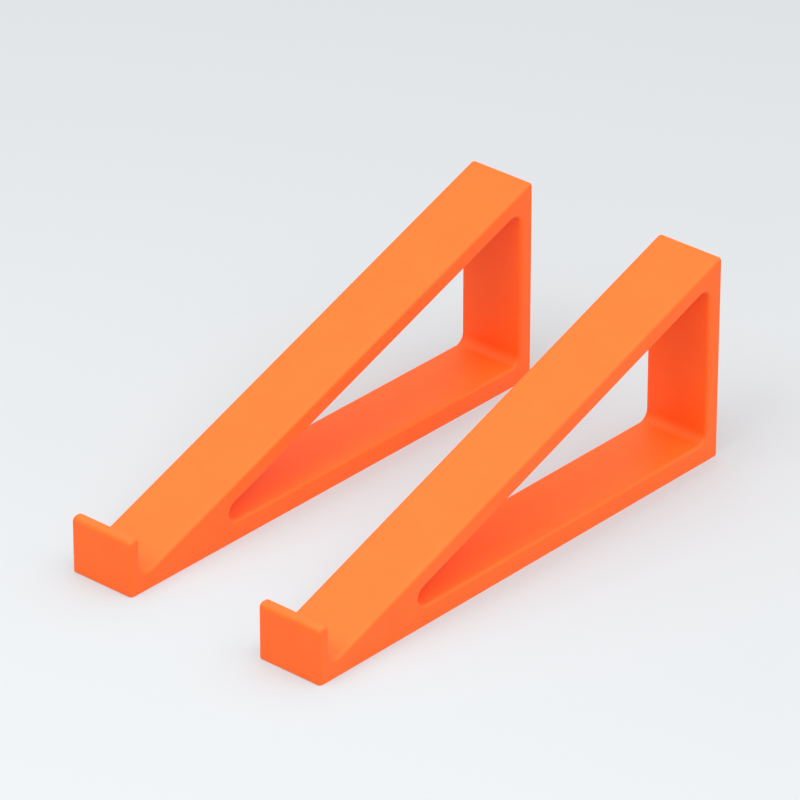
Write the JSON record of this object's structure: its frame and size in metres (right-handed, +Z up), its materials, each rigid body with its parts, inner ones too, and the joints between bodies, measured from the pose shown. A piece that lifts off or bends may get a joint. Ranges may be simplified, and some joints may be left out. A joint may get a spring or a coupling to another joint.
{
  "type": "laptop stand support pair",
  "caption": "Pair of loose wedge-shaped supports with open triangular frames; each has a sloping ramp and a front lip that hold a laptop at an angle.",
  "frame": {"origin": "on the desk, in the middle of the pair's footprint", "axes": "+X across the laptop from the left support to the right one, +Y from the lips to the uprights, +Z up"},
  "size_m": [0.103, 0.189, 0.0712],
  "materials": {
    "orange_plastic": "smooth matte plastic with fine level printed layers"
  },
  "bodies": {
    "left_support": {"left_support": "orange_plastic"},
    "right_support": {"right_support": "orange_plastic"}
  },
  "joints": [
    {"name": "spacing_slide", "type": "slide", "parent": "left_support", "child": "right_support", "axis": [1, 0, 0], "range_m": [-0.051, 0.2]}
  ]
}
